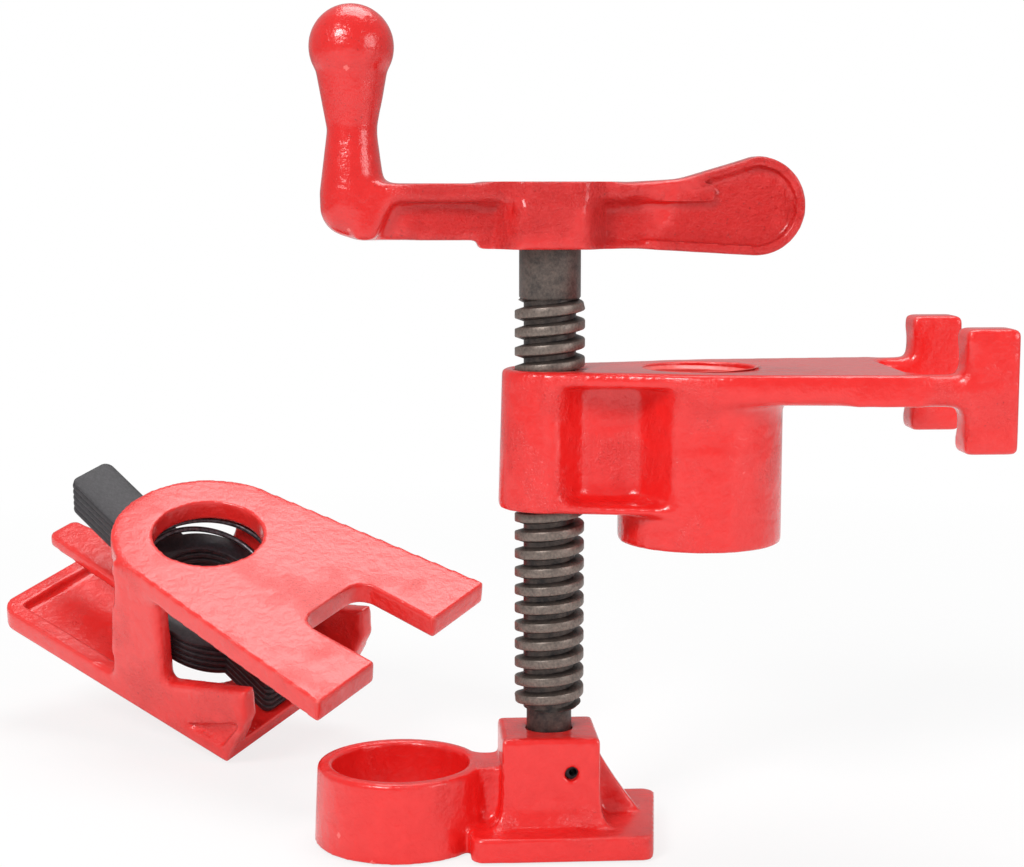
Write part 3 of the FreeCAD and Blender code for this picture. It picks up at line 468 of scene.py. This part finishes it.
# A turned piece on the Z axis: a disc drawn up through the given (radius, height) steps
def turned(name, steps, sides):
    deselect()
    radius, height = steps[0]
    bpy.ops.mesh.primitive_circle_add(vertices=sides, radius=radius * mm, fill_type="NGON",
                                      location=(0, 0, height * mm))
    piece = bpy.context.object
    piece.name = name
    bpy.ops.object.mode_set(mode="EDIT")
    bpy.ops.mesh.select_all(action="SELECT")
    for (lastRadius, lastHeight), (radius, height) in zip(steps, steps[1:]):
        bpy.ops.mesh.extrude_region_move(
            TRANSFORM_OT_translate={"value": (0, 0, (height - lastHeight) * mm)})
        share = radius / lastRadius
        bpy.ops.transform.resize(value=(share, share, 1), center_override=(0, 0, height * mm))
    bpy.ops.mesh.select_all(action="SELECT")
    bpy.ops.mesh.normals_make_consistent(inside=False)
    bpy.ops.object.mode_set(mode="OBJECT")
    bpy.ops.object.transform_apply(location=True, rotation=True, scale=True)
    return piece


# Screw: square-shouldered thread cut to its full depth, smooth shank above, turned neck and groove below
halfCrest, halfRoot = screw["crestFlat"] / 2, screw["rootFlat"] / 2
middle = screw["pitch"] / 2
threadOutline = [
    (screw["root"], 0), (screw["root"], halfRoot), (screw["crest"] - 0.12, middle - halfCrest - 0.1),
    (screw["crest"], middle - halfCrest + 0.12), (screw["crest"], middle + halfCrest - 0.12),
    (screw["crest"] - 0.12, middle + halfCrest + 0.1), (screw["root"], screw["pitch"] - halfRoot),
    (screw["root"], screw["pitch"])]
turnCount = math.ceil((screw["threadEnd"] - screw["threadStart"]) / screw["pitch"]) + 2
thread = helixSurface("screwThread", threadOutline, screw["pitch"], screw["threadStart"] - 1.5 * screw["pitch"],
                      turnCount, screw["steps"])
trimLevel(thread, screw["threadStart"], True)
trimLevel(thread, screw["threadEnd"], False)
for vertex in thread.data.vertices:
    height = vertex.co.z / mm
    run = min(height - screw["threadStart"], screw["threadEnd"] - height)
    limit = screw["root"] + 0.4 + max(run, 0) * (screw["crest"] - screw["root"]) / screw["runIn"]
    radius = math.hypot(vertex.co.x, vertex.co.y) / mm
    if radius > limit:
        vertex.co.x *= limit / radius
        vertex.co.y *= limit / radius
neck = turned("screwNeck", [
    (screw["neck"] - 1.0, screw["tip"]), (screw["neck"], screw["tip"] + 1.0),
    (screw["neck"], screw["pinHeight"] - screw["grooveHalf"]),
    (screw["groove"], screw["pinHeight"] - screw["grooveHalf"] + 0.02),
    (screw["groove"], screw["pinHeight"] + screw["grooveHalf"] - 0.02),
    (screw["neck"], screw["pinHeight"] + screw["grooveHalf"]), (screw["neck"], screw["threadStart"] + 0.5)], 64)
shank = turned("screwShank", [
    (screw["shank"] - 0.35, screw["threadEnd"] - 0.5), (screw["shank"], screw["threadEnd"]),
    (screw["shank"], screw["crankHeight"]), (screw["neck"], screw["crankHeight"] + 0.02),
    (screw["neck"], screw["spigotTop"])], 64)
makeActive(thread)
bpy.ops.object.mode_set(mode="EDIT")
bpy.ops.mesh.select_all(action="SELECT")
bpy.ops.mesh.normals_make_consistent(inside=False)
bpy.ops.object.mode_set(mode="OBJECT")
makeActive(thread)
neck.select_set(True)
shank.select_set(True)
bpy.ops.object.join()
thread.name = "clampScrew"
smoothShade(thread, 35)
givePaint(thread, blackSteel)
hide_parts("screw")
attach(thread, "crank_screw")
print("screw cut, faces", len(thread.data.polygons))

# Pipe thread inside the head: the copy's bore is opened to the thread's root and the ridge stands in it
head = pieces["head_casting"]
for vertex in head.data.vertices:
    dx, dy = vertex.co.x / mm - pipeThread["x"], vertex.co.y / mm
    radius = math.hypot(dx, dy)
    if radius < pipeThread["root"]:
        vertex.co.x = (pipeThread["x"] + dx * pipeThread["root"] / radius) * mm
        vertex.co.y = dy * pipeThread["root"] / radius * mm
quarter = pipeThread["pitch"] / 4
pipeOutline = [
    (pipeThread["root"] + 0.2, 0), (pipeThread["crest"], 2 * quarter - 0.12),
    (pipeThread["crest"], 2 * quarter + 0.12), (pipeThread["root"] + 0.2, 4 * quarter)]
pipeTurns = int((pipeThread["top"] - pipeThread["low"]) / pipeThread["pitch"])
ridge = helixSurface("headPipeThread", pipeOutline, pipeThread["pitch"],
                     pipeThread["low"], pipeTurns, pipeThread["steps"])
ridge.location.x = pipeThread["x"] * mm
makeActive(ridge)
bpy.ops.object.transform_apply(location=True, rotation=True, scale=True)
bpy.ops.object.mode_set(mode="EDIT")
bpy.ops.mesh.select_all(action="SELECT")
bpy.ops.mesh.normals_make_consistent(inside=True)
bpy.ops.object.mode_set(mode="OBJECT")
applyModifier(ridge, "SOLIDIFY", thickness=0.15 * mm, offset=-1.0)
smoothShade(ridge, 35)
givePaint(ridge, enamel)
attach(ridge, "head")
print("pipe thread cut")

# Clutch plates: the shear's small burr rounded off, one mesh each
for number in range(1, 6):
    node = "clutch_plate_%d" % number
    plate = copyNode(node, "clutchPlate%d" % number)
    makeActive(plate)
    bpy.ops.object.mode_set(mode="EDIT")
    bpy.ops.mesh.select_all(action="SELECT")
    bpy.ops.mesh.dissolve_limited(angle_limit=math.radians(1))
    bpy.ops.object.mode_set(mode="OBJECT")
    applyModifier(plate, "BEVEL", width=clutchPlate["edge"] * mm, segments=clutchPlate["segments"],
                  limit_method="ANGLE", angle_limit=math.radians(50))
    smoothShade(plate, 35)
    givePaint(plate, platePaint)
    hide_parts(node)
    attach(plate, "clutch")

# Clutch spring: a smooth-shaded copy of the CAD's spring, carried with the base
spring = copyNode("clutch_spring", "clutchSpring")
smoothShade(spring)
givePaint(spring, springSteel)
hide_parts("clutch_spring")
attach(spring, "base")
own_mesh(spring)
givePaint(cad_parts["retaining_pin"], pinSteel)
print("clutch and pin done")

# Studio: pale floor and backdrop, three soft lamps
studio = {
    "floorHalf": 8.0, "paper": "#F6F6F6", "paperShare": 0.8, "ambient": 0.3, "mirrored": 0.4,
    "shadowEnd": 0.18, "clearFrom": 0.55,    # metres from the middle, where the floor clears to white
    "lamps": (
        {"name": "keyLamp", "place": (-0.55, -0.75, 0.75), "size": 0.34, "power": 7.5},
        {"name": "fillLamp", "place": (0.7, -0.55, 0.35), "size": 0.4, "power": 2.2},
        {"name": "topLamp", "place": (0.05, 0.25, 0.95), "size": 0.6, "power": 4.5},
    ),
    "aim": (-0.02, 0.02, 0.08),
}
deselect()
bpy.ops.mesh.primitive_plane_add(size=2 * studio["floorHalf"], location=(0, 0, -0.0004))
floor = bpy.context.object
floor.name = "studioFloor"
paper, tree = newMaterial("matWhitePaper")
ray = addNode(tree, "ShaderNodeLightPath")
white = addNode(tree, "ShaderNodeBsdfDiffuse", {"Color": hexColour(studio["paper"])})
glow = addNode(tree, "ShaderNodeEmission", {"Color": (1.0, 1.0, 1.0, 1.0), "Strength": 1.0})
seenAll = addNode(tree, "ShaderNodeMath", {0: ray.outputs["Is Camera Ray"], 1: ray.outputs["Is Transmission Ray"]},
                  operation="MAXIMUM")
floorPlace = addNode(tree, "ShaderNodeTexCoord").outputs["Object"]
away = addNode(tree, "ShaderNodeVectorMath", {0: floorPlace}, operation="LENGTH")
clearer = addNode(tree, "ShaderNodeMapRange", {
    "Value": away.outputs["Value"], "From Min": studio["shadowEnd"], "From Max": studio["clearFrom"],
    "To Min": studio["paperShare"], "To Max": 1.0})
share = addNode(tree, "ShaderNodeMath", {0: seenAll.outputs[0], 1: clearer.outputs[0]}, operation="MULTIPLY")
blend = addNode(tree, "ShaderNodeMixShader", {0: share.outputs[0], 1: white.outputs[0], 2: glow.outputs[0]})
addNode(tree, "ShaderNodeOutputMaterial", {"Surface": blend.outputs[0]})
givePaint(floor, paper)

world = bpy.data.worlds.new("studioWorld")
bpy.context.scene.world = world
world.use_nodes = True
tree = world.node_tree
tree.nodes.clear()
ray = addNode(tree, "ShaderNodeLightPath")
seen = addNode(tree, "ShaderNodeMath", {0: ray.outputs["Is Camera Ray"], 1: ray.outputs["Is Glossy Ray"]},
               operation="MAXIMUM")
seenAll = addNode(tree, "ShaderNodeMath", {0: seen.outputs[0], 1: ray.outputs["Is Transmission Ray"]},
                  operation="MAXIMUM")
seenPlain = addNode(tree, "ShaderNodeMapRange", {
    "Value": seenAll.outputs[0], "To Min": studio["ambient"], "To Max": 1.0})
# gloss sees a dimmer room, so that the reds stay deep between the lamps' highlights
gloss = addNode(tree, "ShaderNodeMath", {0: ray.outputs["Is Glossy Ray"], 1: 1 - studio["mirrored"]},
                operation="MULTIPLY")
level = addNode(tree, "ShaderNodeMath", {0: seenPlain.outputs[0], 1: gloss.outputs[0]}, operation="SUBTRACT")
sky = addNode(tree, "ShaderNodeBackground", {"Color": (1.0, 1.0, 1.0, 1.0), "Strength": level.outputs[0]})
addNode(tree, "ShaderNodeOutputWorld", {"Surface": sky.outputs[0]})

for lamp in studio["lamps"]:
    place = Vector(lamp["place"])
    turn = (Vector(studio["aim"]) - place).to_track_quat("-Z", "Y").to_euler()
    bpy.ops.object.light_add(type="AREA", location=place, rotation=turn)
    light = bpy.context.object
    light.name = lamp["name"]
    light.data.size = lamp["size"]
    light.data.energy = lamp["power"]

# Camera, found from the plate's edges, the feet and the screw's pitch in the photograph
view = {"place": (-0.03652, -0.44368, 0.1506), "down": 7.185, "turn": -3.6, "lens": 69.02}
bpy.ops.object.camera_add(location=view["place"],
                          rotation=(math.radians(90 - view["down"]), 0, math.radians(view["turn"])))
camera = bpy.context.object
camera.name = "photoCamera"
camera.data.lens = view["lens"]
camera.data.sensor_width = 36.0
camera.data.clip_start = 0.01
bpy.context.scene.camera = camera
bpy.context.scene.view_settings.view_transform = "Standard"
print("studio set")
